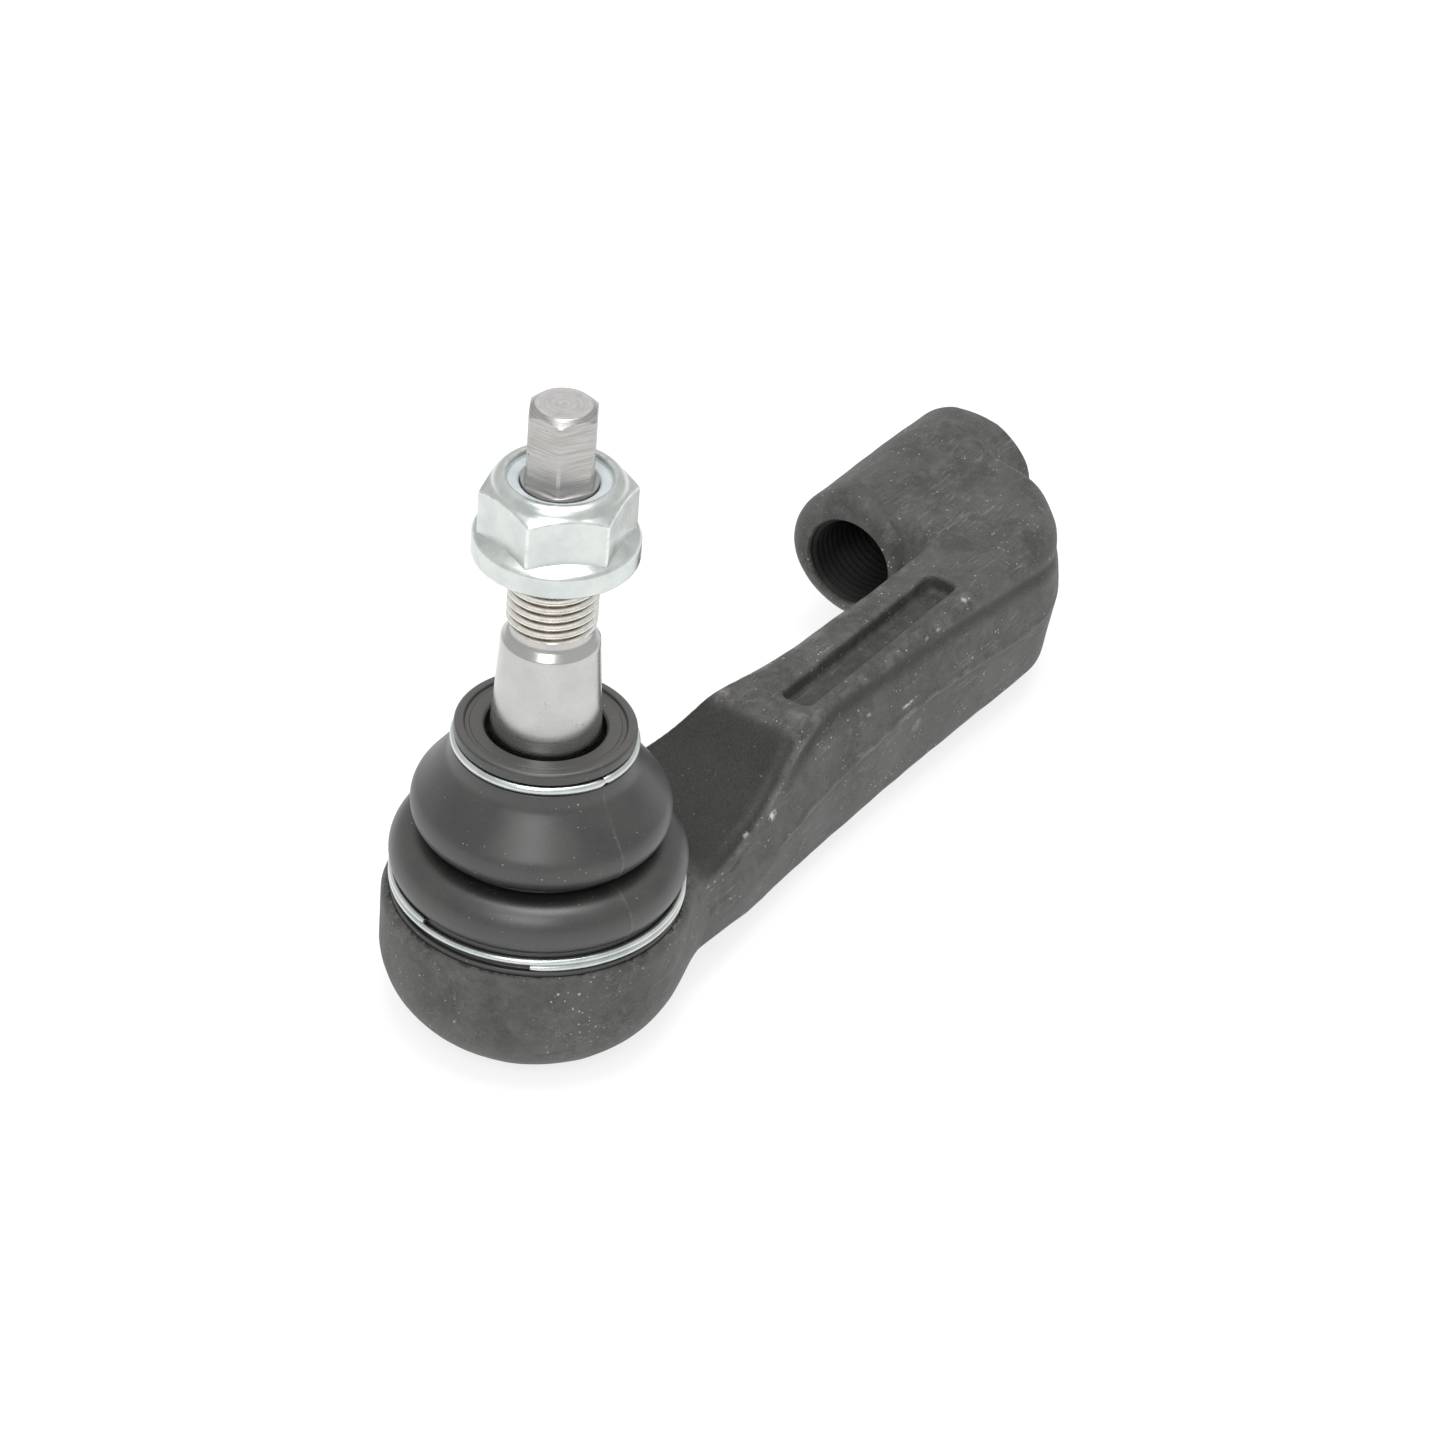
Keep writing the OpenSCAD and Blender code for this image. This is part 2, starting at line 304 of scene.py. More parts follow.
def turned(radius, height, angles, closed=False, helix=None):
    """Closed mesh turned about Z. radius and height have a row for each ring and a column for each angle.
    A closed outline joins its last ring to its first; an open one is capped. helix is (first row, last row,
    rows a turn) of a stretch whose rows climb by one turn's rows between the last angle and the first."""
    rows, columns = radius.shape
    x, y = radius * np.cos(angles), radius * np.sin(angles)
    points = np.stack([x, y, height], 2).reshape(-1, 3)
    faces = []
    for i in range(rows if closed else rows - 1):
        k = (i + 1) % rows
        for j in range(columns - 1):
            faces.append((i * columns + j, i * columns + j + 1, k * columns + j + 1, k * columns + j))
        j, i_end, k_end = columns - 1, i, k
        if helix and helix[0] <= i < helix[1]:
            i_end = min(i + helix[2], helix[1])
            k_end = min(i + 1 + helix[2], helix[1])
        faces.append((i * columns + j, i_end * columns, k_end * columns, k * columns + j))
    if not closed:
        ends = [[0, 0, height[0, 0]], [0, 0, height[-1, 0]]]
        points = np.concatenate([points, ends])
        bottom, top, last = rows * columns, rows * columns + 1, (rows - 1) * columns
        for j in range(columns):
            following = (j + 1) % columns
            faces.append((bottom, following, j))
            faces.append((top, last + j, last + following))
    return welded(points, faces)


def filleted(corners, gap):
    """Points along an outline of (r, z, corner radius), with round corners and a point at least every gap."""
    out = []
    total = len(corners)
    for k, (r, z, bend) in enumerate(corners):
        here = np.array([r, z])
        before = np.array(corners[k - 1][:2]) - here
        after = np.array(corners[(k + 1) % total][:2]) - here
        u, v = before / np.linalg.norm(before), after / np.linalg.norm(after)
        half = math.acos(np.clip(u @ v, -1, 1)) / 2
        if bend <= 0 or half > math.radians(88):
            out.append(here)
            continue
        reach = min(bend / math.tan(half), 0.48 * np.linalg.norm(before), 0.48 * np.linalg.norm(after))
        bend = reach * math.tan(half)
        centre = here + (u + v) / np.linalg.norm(u + v) * bend / math.sin(half)
        a, b = here + u * reach - centre, here + v * reach - centre
        sweep = math.atan2(a[0] * b[1] - a[1] * b[0], a @ b)
        steps = max(3, int(abs(sweep) * 6))
        for t in np.linspace(0, sweep, steps + 1):
            turn = np.array([[math.cos(t), -math.sin(t)], [math.sin(t), math.cos(t)]])
            out.append(centre + turn @ a)
    dense = []
    for k, p in enumerate(out):
        q = out[(k + 1) % len(out)]
        pieces = max(1, int(math.ceil(np.linalg.norm(q - p) / gap)))
        dense += [p + (q - p) * t / pieces for t in range(pieces)]
    return np.array(dense)


def arc_points(centre_r, centre_z, r, start, end, steps):
    """Corners of a polyline on an arc, in degrees, for filleted()."""
    angles = np.radians(np.linspace(start, end, steps + 1))
    return [(centre_r + r * math.cos(t), centre_z + r * math.sin(t), 0) for t in angles]


def add(name, data):
    """A new object in the scene."""
    obj = bpy.data.objects.new(name, data)
    bpy.context.scene.collection.objects.link(obj)
    return obj


def make(name, points, faces, body, crisp, replaces):
    """A piece of the object, from points in millimetres. Edges sharper than crisp, in degrees, stay
    sharp."""
    mesh = bpy.data.meshes.new(name)
    mesh.from_pydata((np.asarray(points) * MM).tolist(), [], faces)
    mesh.polygons.foreach_set("use_smooth", np.ones(len(mesh.polygons), bool))
    if crisp:
        mesh.set_sharp_from_angle(angle=math.radians(crisp))
    mesh.update()
    obj = add(name, mesh)
    if body:
        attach(obj, body)
    if replaces:
        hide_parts(*replaces)
    return obj


def note(obj, name, values):
    """Stores a number or a vector for each point of a mesh, for its material to read."""
    values = np.asarray(values, np.float32)
    kind = "FLOAT_VECTOR" if values.ndim == 2 else "FLOAT"
    data = obj.data.attributes.new(name, kind, "POINT").data
    data.foreach_set("vector" if values.ndim == 2 else "value", values.ravel())


# ---- forging
right_line = smooth_line((6, -22), (29.5, -20.4), (48, -19.1), (82, -19.5), (118, -20.2))
left_line = smooth_line((6, 21.5), (29.5, 10.7), (48, 3.1), (82, -0.9), (118, -0.9))
part_line = smooth_line((6, 12), (29.5, 13.4), (48.6, 17.2), (66, 20.0), (80, 21.2), (100, 19.7),
                        (114, 18.2), (126, 18.8))
groove_line = smooth_line((40, 24.5), (46, 27.4), (53, 30), (70, 30.6), (88, 29.9), (114, 27.2),
                          (134, 25.6))
under_line = smooth_line((6, 7.4), (20, 7.2), (30, 6.1), (40, 4.6), (50, 3.8), (60, 3.7), (82, 4.5),
                         (118, 5.4))
# small dents of handling: place, radius of the ball that made it, depth
DENTS = (
    ((38.2, -19.3, 22.8), 2.2, 0.35), ((58.5, -19.4, 25.0), 3.0, 0.15),
    ((86.0, -18.6, 30.6), 1.6, 0.3), ((70.0, -19.2, 13.0), 4.0, 0.15),
    ((126.5, -18.3, 22.0), 3.0, 0.2), ((120.0, 2.0, 33.1), 4.0, 0.12),
    ((-13.0, -20.6, 12.0), 3.0, 0.15), ((-20.0, -13.6, 15.0), 2.5, 0.15),
    ((62.0, -4.6, 33.1), 3.0, 0.12),
)


def dent_centre(place, ball, depth):
    """Centre of the ball that leaves a dent: outside the surface, square to the housing, side or top."""
    x, y, z = place
    if z > ARM_TOP - 0.1:
        out = np.array([0.0, 0.0, 1.0])
    elif x < 20:
        out = np.array([x, y, 0.0]) / math.hypot(x, y)
    elif x > HOOK_X:
        out = np.array([x - HOOK_X, y - HOOK_Y, 0.0]) / math.hypot(x - HOOK_X, y - HOOK_Y)
    else:
        out = np.array([0.0, -1.0, 0.0])
    return np.array(place) + out * (ball - depth)


DENT_BALLS = [(dent_centre(*dent), dent[1]) for dent in DENTS]


def arm_field(x, y, z):
    """Arm and hook, with drafted sides that meet at a trimmed flash line."""
    right = right_line(x) - y
    left = (y - left_line(x)) * 0.96
    inner = round_min(left, BOSS_X - x, 4.0)
    past, aside = x - HOOK_X, HOOK_Y - y
    corner = np.hypot(np.maximum(past, 0), np.maximum(aside, 0)) + np.minimum(np.maximum(past, aside), 0)
    plan = np.maximum(inner, np.maximum(right, corner - HOOK_R))
    plan = np.maximum(plan, np.where(x > 60, y - BOSS_Y, -HOOK_R))
    plan = np.maximum(plan, ARM_START - x)
    side = np.maximum(plan + DRAFT * np.abs(z - part_line(x)), plan + FLASH)
    near_side = (1 - smooth_step(y, -14, -8)) * smooth_step(x, 36, 48) * (1 - 0.7 * smooth_step(x, 118, 130))
    side = side + GROOVE_DEPTH * near_side * np.exp(-((z - groove_line(x)) / GROOVE_HALF) ** 2)
    side = side - RIDGE_HEIGHT * near_side * np.exp(-((z - part_line(x)) / RIDGE_HALF) ** 2)
    slope = sum(k * (v - p) for k, v, p in zip(SLOPE_NORMAL, (x, y, z), SLOPE_POINT))
    slope = slope + 0.35 * np.clip(1 - ((x - 39.5) / 9) ** 2, 0, 1)
    flat = z - (ARM_TOP - 0.2 * smooth_step(x, 100, 115))
    top = round_max(flat, round_min(slope, z - ROOT_TOP, 7.0), 2.2)
    edge = 2.8 + 0.3 * smooth_step(x, 45, 60) + 1.2 * smooth_step(x, 95, 115)
    left_edge = 1.2 + 1.0 * smooth_step(x, 52, 70)
    edge = edge + (left_edge - edge) * smooth_step(y, -13, -6)
    arm = round_max(side, top, edge)
    return round_max(arm, under_line(x) - z, 2.0)


def forging_field(x, y, z):
    """Negative inside the forging."""
    rho = np.hypot(x, y)
    boss_rho = np.hypot(y - BOSS_Y, z - BOSS_Z)
    sunk = 0.8 * smooth_step(x, 132, 149) * smooth_step(z, 24, 33)
    boss_half = (BOSS_END - BOSS_X) / 2
    far_bend = 1.0 + 4.2 * smooth_step(z, 31, 33.5)
    near_bend = 3.2 + 1.8 * smooth_step(-z, -20, -10)
    end_bend = np.where(x > BOSS_X + boss_half, far_bend, near_bend)
    boss = round_max(boss_rho - BOSS_R + sunk, np.abs(x - BOSS_X - boss_half) - boss_half, end_bend)
    bend = 0.05 + 6.5 * smooth_step(x, 124, 138)
    body = round_min(arm_field(x, y, z), boss, bend)
    body = np.maximum(body, z - ARM_TOP)
    barrel = round_max(rho - HOUSING_R, z - RIM_Z, 1.9)
    barrel = round_max(barrel, cone(rho, z, *UNDERSIDE), 3.6)
    barrel = round_max(barrel, -z, 1.8)
    body = round_min(body, barrel, 4.0)
    # die-forged surfaces are never quite flat
    wave = np.sin(0.31 * x + 1.7 * np.sin(0.23 * y + 0.4)) * np.sin(0.37 * z + 0.29 * y + 0.11 * x)
    ripple = np.sin(0.9 * x + 1.1 * np.sin(0.7 * z)) * np.sin(0.8 * y + 0.77 * z + 1.3)
    body = body + 0.05 * wave + 0.022 * ripple
    for place, ball in DENT_BALLS:
        body = np.maximum(body, ball - np.sqrt(sum((v - p) ** 2 for v, p in zip((x, y, z), place))))
    # machined clearance round the boot, and the neck that the boot's bead sits on
    clear = rho - CLEAR_R - CLEAR_DRAFT * (z - SHOULDER_Z)
    clear = np.maximum(clear, np.where(rho > FOOT_R, RIM_Z, SHOULDER_Z) - z)
    body = round_max(body, -clear, 0.5)
    neck = np.maximum(round_max(rho - NECK_R, z - NECK_TOP, 0.5), 10.0 - z)
    body = np.minimum(body, neck)
    # recess in the arm's top
    middle, reach = sum(RECESS_X) / 2, (RECESS_X[1] - RECESS_X[0]) / 2
    rise = RECESS_DRAFT * (z - RECESS_FLOOR)
    slot = round_max(np.abs(x - middle) - reach - rise, np.abs(y - RECESS_Y) - RECESS_HALF - rise, 1.5)
    slot = round_max(slot, RECESS_FLOOR - z, 0.9)
    body = round_max(body, -slot, 0.45)
    # rod bore with a chamfer at each end
    bore = boss_rho - BORE_R
    for depth in (x - BOSS_X, BOSS_END - x):
        bore = np.minimum(bore, 0.707 * (boss_rho - BORE_MOUTH_R + depth))
    bore = np.maximum(bore, BOSS_X - 3.0 - x)
    body = np.maximum(body, -bore)
    # ball cavity, the cover plate's seat and rolled lip at the bottom, and the mouth at the top
    lip = np.maximum(rho - ROLLED_LIP_R + 0.35 * np.minimum(z, 0.9), z - ROLLED_LIP_TOP)
    for hollow in (pocket(rho, z, *CAVITY), pocket(rho, z, *PLATE_SEAT), lip, mouth(rho, z, *MOUTH)):
        body = np.maximum(body, -hollow)
    return body


forging_points, forging_faces = surface_of(forging_field, (-26.1, -26.1, -1.1), (151, 28, 35), 0.5)
forging_points = np.clip(forging_points, low("forged_housing"), high("forged_housing"))
forging = make("forged_housing_body", forging_points, forging_faces, "housing", 38.0,
               ["forged_housing"])
x, y, z = forging_points.T
by_recess = (np.abs(y - RECESS_Y) < 4.2) * (x > RECESS_X[0] - 2) * (x < RECESS_X[1] + 2)
# edges that stand out get rubbed wear and a painted highlight
edge_wear_and_highlight = np.clip(bulge(forging_field, forging_points, 1.1), -1, 1) * smooth_step(x, 24.5, 28)
note(forging, "edge", edge_wear_and_highlight * (1 - by_recess) * (1 - 0.8 * smooth_step(x, 103, 108)))
in_groove = (y < -12) * smooth_step(x, 40, 52) * (1 - smooth_step(x, 126, 134))
in_groove = in_groove * np.exp(-((z - groove_line(x)) / 1.4) ** 2)
on_slope = smooth_step(x, 15, 24) * (1 - smooth_step(x, 46.2, 48.2)) * (z > 19)
facing_up = smooth_step(gradient(forging_field, forging_points, 0.6)[:, 2], 0.45, 0.8)
in_recess = (z < ARM_TOP - 0.8) * (x > RECESS_X[0] - 1) * (x < RECESS_X[1] + 1)
in_recess = in_recess * (np.abs(y - RECESS_Y) < RECESS_HALF + 0.6) * (z > RECESS_FLOOR - 0.3)
# bare metal where the finish is knocked off, and along the edge right of the slope a painted highlight:
# place, half length along X, half height, share of bare metal
CHIPS_AND_HIGHLIGHTS = (
    ((38.2, -19.0, 22.8), 1.1, 0.8, 1.0), ((77.5, -19.0, 23.0), 1.5, 0.3, 1.0),
    ((66.5, -18.9, 26.5), 0.6, 0.3, 0.6), ((97.0, -17.2, 32.6), 0.7, 0.3, 0.7),
    ((81.5, -19.0, 16.5), 1.4, 1.4, 0.16), ((31.0, -18.6, 23.0), 0.6, 0.3, 0.5),
    ((88.0, -17.6, 31.8), 0.5, 0.3, 0.6), ((84.5, -17.6, 31.8), 0.4, 0.3, 0.5),
    ((48.6, -1.0, 33.0), 1.4, 0.5, 0.25),
)
chips_and_highlight = np.zeros(len(forging_points))
for spot, half_x, half_z, share in CHIPS_AND_HIGHLIGHTS:
    off = (forging_points - np.array(spot)) / np.array([half_x, 1.5, half_z])
    chips_and_highlight = np.maximum(chips_and_highlight, share * (1 - smooth_step(np.linalg.norm(off, axis=1), 0.7, 1.15)))
note(forging, "chips_and_highlight", chips_and_highlight)
inside_bore = np.hypot(y - BOSS_Y, z - BOSS_Z) < BORE_R + 0.15
# a lap left by the forging die low on the near side, drawn as a line of painted shade
lap = np.exp(-((x - 27.5) / 1.7) ** 4 - ((z - 19.6 - 0.3 * (x - 27.5)) / 0.4) ** 2)
# painted shade: darker in the side groove, the recess, the lap and the rod bore, where shade falls; the
# upward faces of the slope are painted darker too
painted_shade = np.maximum(np.maximum(on_slope * facing_up, 0.35 * in_recess), 0.85 * in_groove)
painted_shade = np.maximum(painted_shade, lap * (y < -15))
note(forging, "painted_shade", np.maximum(painted_shade, inside_bore * (x > 105)))


# ---- rod thread
def thread_radius(phase, crest, root):
    """Radius of a 60 degree thread at a phase of 0 to 1 of its pitch, with flats at crest and root."""
    crest_share, root_share = 0.125, 0.2
    away = 2 * np.abs((phase + 0.5) % 1 - 0.5)
    t = np.clip((away - crest_share) / (1 - crest_share - root_share), 0, 1)
    return crest + (root - crest) * t


def thread_rows(z0, z1, pitch, per_turn, angles, crest, root, limit):
    """Rows of radius and height for a helical thread from z0 to z1. limit() chamfers its ends."""
    s = np.arange(z0 - pitch, z1 + pitch / per_turn, pitch / per_turn)[:, None]
    height = np.clip(s + pitch * angles / (2 * math.pi), z0, z1)
    radius = thread_radius(np.broadcast_to(s / pitch, height.shape), crest, root)
    return limit(radius, height), height


# a sleeve of internal M16 thread along +X, made along Z and laid over
sleeve_angles = full_turn(SLEEVE_COLUMNS)
sleeve_ends = (0.25, BOSS_END - BOSS_X - 0.25)


def sleeve_limit(radius, z):
    """Opens the thread out at both mouths of the bore."""
    return np.maximum(radius, SLEEVE_R - 0.05 - np.minimum(z - sleeve_ends[0], sleeve_ends[1] - z))


thread_r, thread_z = thread_rows(*sleeve_ends, ROD_PITCH, SLEEVE_ROWS, sleeve_angles, ROD_CREST, ROD_ROOT,
                                 sleeve_limit)
outside = np.full((2, SLEEVE_COLUMNS), SLEEVE_R)
sleeve_r = np.concatenate([thread_r, outside])
sleeve_z = np.concatenate([thread_z, outside * 0 + [[sleeve_ends[1]], [sleeve_ends[0]]]])
points, faces = turned(sleeve_r, sleeve_z, sleeve_angles, True, (0, len(thread_r) - 1, SLEEVE_ROWS))
points = points[:, [2, 0, 1]] + [BOSS_X, BOSS_Y, BOSS_Z]
rod_thread = make("rod_thread", points, faces, "housing", 0, ())

# ---- stud
stud_angles = np.radians(TIP_TURN) + full_turn(STUD_COLUMNS)
flat_turn = (np.degrees(stud_angles) - TIP_TURN) % 60 - 30
hex_r = TIP_APOTHEM / np.cos(np.radians(flat_turn))
ball_rows = [corner[:2] for corner in arc_points(0, BALL_Z, BALL_R, -64.9, 56.6, 45)]
ball_rows = [(r, ball_rows[0][1]) for r in (1.5, 3.2, 4.6)] + ball_rows
body_rows = [(6.92, 27.2), (6.9, 28.0), (6.9, 30), (6.9, 33), (6.9, 35.4), (6.95, 36.4), (7.1, 37.8),
             (7.4, 39.2), (7.75, 40.4), (8.3, 42.0), (8.75, 43.2), (8.9, 43.55), (LAND_R, 43.9)]
body_rows += [(LAND_R, z) for z in (44.5, 46, 47.5, 48.6, 49.2)]
body_rows += [(TAPER_R - (z - TAPER_Z) / 16, z) for z in np.linspace(TAPER_Z, TAPER_TOP, 26)]
body_rows += [(7.55, 70.02), (7.4, 70.22), (7.15, 70.55), (6.9, 70.88), (6.7, 71.13), (6.5, 71.28),
              (6.33, 71.4), (6.24, 71.58)]
body_rows += [(UNDERCUT_R, z) for z in (71.8, 72.1, 72.4, THREAD_Z[0])]


def stud_limit(radius, z):
    """Chamfers at both ends of the stud's thread."""
    entry = UNDERCUT_R + (z - THREAD_Z[0]) * 1.1
    leave = 5.95 + (THREAD_Z[1] - z) * 1.15
    return np.minimum(radius, np.minimum(entry, leave))


thread_r, thread_z = thread_rows(*THREAD_Z, PITCH, STUD_ROWS, stud_angles - stud_angles[0], THREAD_R,
                                 THREAD_ROOT, stud_limit)
plain_r, plain_z = even_rings(ball_rows + body_rows, STUD_COLUMNS)
shank_rows = [(5.93, THREAD_Z[1] + 0.1), (5.92, 95.4), (5.91, 96.0), (5.9, 97.0), (5.9, 98.0),
              (SHANK_R, TIP_FOOT - 0.02)]
shank_r, shank_z = even_rings(shank_rows, STUD_COLUMNS)
tip_rows = [TIP_FOOT + TIP_RUN_OUT * t for t in (0, 0.01, 0.03, 0.07, 0.13, 0.22, 0.35, 0.5, 0.7, 1)]
tip_rows += list(np.linspace(99.3, TIP_Z - 1.8, 22)) + list(np.linspace(TIP_Z - 1.6, TIP_Z - 0.06, 20))
tip_z = np.repeat(np.array(tip_rows)[:, None], STUD_COLUMNS, 1)
bar = np.minimum(hex_r, TIP_R)
risen = np.clip((tip_z - TIP_FOOT) / TIP_RUN_OUT, 0, 1)
run_out = 1 - np.sqrt(np.clip(1 - (1 - risen) ** 2, 0, 1))
chamfer = 4.42 + (TIP_Z - 0.06 - tip_z) * 1.12
tip_r = np.minimum(bar + (SHANK_R - bar) * run_out, chamfer)
top_r, top_z = even_rings([(r, TIP_Z) for r in (4.33, 3.8, 3.0, 2.2, 1.4, 0.6)], STUD_COLUMNS)
radius = np.concatenate([plain_r, thread_r, shank_r, tip_r, top_r])
height = np.concatenate([plain_z, thread_z, shank_z, tip_z, top_z])
first = len(plain_r)
points, faces = turned(radius, height, stud_angles, False, (first, first + len(thread_r) - 1, STUD_ROWS))
stud = make("ball_stud_body", points, faces, "stud", 24.0, ["ball_stud"])


# ---- boot
def seam_gap(turns):
    """Degrees from each angle to the nearer of the boot's two mould seams."""
    off = turns[:, None] - np.radians([SEAM_TURN, SEAM_TURN + 180])
    return np.degrees(np.abs((off + math.pi) % (2 * math.pi) - math.pi)).min(1)


even = np.linspace(0, 360, 150, endpoint=False)
across_seam = SEAM_HALF * np.array([-1, -0.5, 0, 0.5, 1])
extra = np.concatenate([SEAM_TURN + side + across_seam for side in (0, 180)])
even = even[np.min(np.abs((even[:, None] - extra + 180) % 360 - 180), 1) > 0.9]
boot_angles = np.radians(np.sort(np.concatenate([even, extra % 360])))
seam = np.clip(1 - seam_gap(boot_angles) / SEAM_HALF, 0, 1) ** 1.5


def rubber(name, outline, seam_low, seam_high, nodes):
    """Closed ring of rubber with a fine mould seam down each side, between two heights."""
    profile = filleted(outline, 0.9)
    r, z = even_rings(profile, len(boot_angles))
    ahead, behind = np.roll(profile, -1, 0), np.roll(profile, 1, 0)
    facing = (ahead - behind)[:, ::-1] * [1, -1]
    facing = facing / np.linalg.norm(facing, axis=1, keepdims=True)
    raised = (z > seam_low) & (z < seam_high) & (facing[:, :1] > 0.25)
    r = r + 0.11 * seam * raised
    points, faces = turned(r, z, boot_angles, True)
    obj = make(name, points, faces, None, 45.0, nodes)
    note(obj, "rest_place", points)
    note(obj, "seam", np.clip(1 - seam_gap(np.arctan2(points[:, 1], points[:, 0])), 0, 1))
    out = np.hypot(points[:, 0], points[:, 1])
    off = np.hypot(out[:, None] - profile[:, 0], points[:, 2:] - profile[:, 1])
    note(obj, "upward", facing[np.argmin(off, 1), 1] * (points[:, 2] > LIP_Z - 1.2))
    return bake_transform(obj)


lower_outline = [(20.85, 22.25, 0.2), (23.0, 22.25, 0.35), (23.0, 23.3, 0.3), (22.15, 23.4, 0.2),
                 (22.15, 25.7, 0.3)]
lower_outline += arc_points(*LOWER_BULGE, LOWER_BULGE_R, -44, 96, 26)
lower_outline += [(17.4, SPLIT_Z - 0.2, 0.6), (16.6, SPLIT_Z - 0.55, 0.4), (16.25, SPLIT_Z - 0.1, 0.15),
                  (14.2, SPLIT_Z - 0.1, 0.2), (14.4, 32.2, 0.5)]
lower_outline += arc_points(*LOWER_BULGE, LOWER_BULGE_R - BULGE_WALL, 98, -38, 18)
lower_outline += [(20.85, 27.0, 0.3)]
lower_boot = rubber("boot_lower", lower_outline, 27, 33.6,
                    ["boot_lower_bellow"])
upper_outline = [(14.2, SPLIT_Z, 0.2), (16.2, SPLIT_Z, 0.2), (16.25, SPLIT_Z + 0.5, 0.3),
                 (17.05, SPLIT_Z + 0.75, 0.3), (17.2, SPLIT_Z + 1.15, 0.25)]
upper_outline += arc_points(*UPPER_BULGE, UPPER_BULGE_R, -64, 35.6, 24)
upper_outline += [(14.9, 47.8, 3.0), (14.35, 50.3, 0.2), (13.15, 50.3, 0.25), (13.15, 52.0, 0.25),
                  (14.1, 52.1, 0.3), (14.1, LIP_Z, 0.7), (12.6, LIP_Z, 0.5), (12.4, LIP_Z - 0.55, 0.25),
                  (11.75, LIP_Z - 0.55, 0.1), (11.65, LIP_Z - 0.43, 0.1), (9.75, LIP_Z - 0.5, 0.25),
                  (9.4, LIP_Z - 0.8, 0.12), (9.4, 50.6, 0.3), (9.0, 50.3, 0.15), (9.0, 44.6, 0.2),
                  (9.7, 44.0, 0.4), (14.6, 43.4, 1.5)]
upper_outline += arc_points(*UPPER_BULGE, UPPER_BULGE_R - BULGE_WALL, 30, -84, 16)
upper_boot = rubber("boot_upper", upper_outline, SPLIT_Z + 1.5, 49.9,
                    ["boot_upper_bellow", "boot_neck"])


# ---- rings
def wire(name, turns, start, lift, ring_r, wire_r, z, body, node, flare=0.0):
    """Round spring wire wound about Z. It starts at an angle, in degrees, and climbs by lift a turn.
    flare is how far its last stretch stands out."""
    steps = int(turns * 120)
    along = np.radians(start) + np.linspace(0, turns * 2 * math.pi, steps + 1)
    climb = z + lift * (along - along[0]) / (2 * math.pi)
    sides = full_turn(WIRE_SIDES)
    shrink = np.ones(steps + 1)
    shrink[[0, -1]] = 0.72
    points = []
    spread = ring_r + flare * smooth_step(along, along[-1] - 0.5, along[-1])
    for t, height, size, reach in zip(along, climb, shrink, spread):
        r = reach + wire_r * size * np.cos(sides)
        points.append(np.stack([r * math.cos(t), r * math.sin(t), height + wire_r * size * np.sin(sides)], 1))
    middle = [[r * math.cos(t), r * math.sin(t), h] for r, t, h in
              ((spread[0], along[0] - 0.002, climb[0]), (spread[-1], along[-1] + 0.002, climb[-1]))]
    points = np.concatenate([*points, middle])
    faces = []
    last = steps * WIRE_SIDES
    first_middle = last + WIRE_SIDES
    for i in range(0, last, WIRE_SIDES):
        for j in range(WIRE_SIDES):
            k = (j + 1) % WIRE_SIDES
            faces.append((i + j, i + WIRE_SIDES + j, i + WIRE_SIDES + k, i + k))
    for j in range(WIRE_SIDES):
        k = (j + 1) % WIRE_SIDES
        faces.append((first_middle, j, k))
        faces.append((first_middle + 1, last + k, last + j))
    return make(name, points, faces, body, 50.0, [node])


lower_ring = wire("lower_ring_wire", 1.87, 213.5, 1.1, LOWER_RING_R, LOWER_WIRE_R,
                  LOWER_RING_Z + LOWER_WIRE_R, "housing", "lower_ring")
upper_ring = wire("upper_ring_wire", 0.9985, 255.0, 0.0, UPPER_RING_R, UPPER_WIRE_R,
                  UPPER_RING_Z, "boot_top", "upper_ring", 0.22)


# ---- nut
def nut_field(x, y, z):
    """Negative inside the flange nut."""
    rho = np.hypot(x, y)
    up = z - NUT_Z
    sides = []
    for k in range(3):
        turn = math.radians(NUT_TURN + 30 + 60 * k)
        sides.append(np.abs(x * math.cos(turn) + y * math.sin(turn)) - NUT_APOTHEM)
    prism = round_max(round_max(sides[0], sides[1], 0.25), sides[2], 0.25)
    prism = round_max(prism, cone(rho, up, *HEX_CHAMFER), 0.3)
    flange = round_max(rho - FLANGE_R, cone(rho, up, *FLANGE_TOP), 0.5)
    flange = round_max(flange, -up, 0.6)
    collar = round_max(rho - COLLAR_R, up - NUT_H, 1.9)
    body = round_min(np.minimum(prism, flange), collar, 0.25)
    body = np.maximum(body, -up)
    bore = np.minimum(rho - NUT_BORE_R, 0.707 * (rho - NUT_BORE_MOUTH_R + up))
    body = round_max(body, -mouth(rho, up, *COLLAR_MOUTH), 0.3)
    for hollow in (bore, pocket(rho, up, *POCKET)):
        body = np.maximum(body, -hollow)
    return body


reach = FLANGE_R + 0.7
nut_points, nut_faces = surface_of(nut_field, (-reach, -reach, NUT_Z - 0.6),
                                   (reach, reach, NUT_Z + NUT_H + 0.6), 0.22)
nut = make("flange_nut_body", nut_points, nut_faces, "nut", 28.0, ["flange_nut"])
note(nut, "edge", np.clip(bulge(nut_field, nut_points, 0.35), -2, 2))
insert_z = float(low("nylon_insert")[2])
insert_top = float(high("nylon_insert")[2])
insert_outline = [(6.0, insert_z + 0.7, 0.2), (6.9, insert_z, 0.2), (8.62, insert_z, 0.2),
                  (8.62, insert_top, 0.2), (6.3, insert_top, 0.25), (6.0, insert_top - 0.3, 0.25)]
radius, height = even_rings(filleted(insert_outline, 0.6), DISC_COLUMNS)
points, faces = turned(radius, height, full_turn(DISC_COLUMNS), True)
insert = make("nylon_insert_ring", points, faces, "insert", 40.0, ["nylon_insert"])

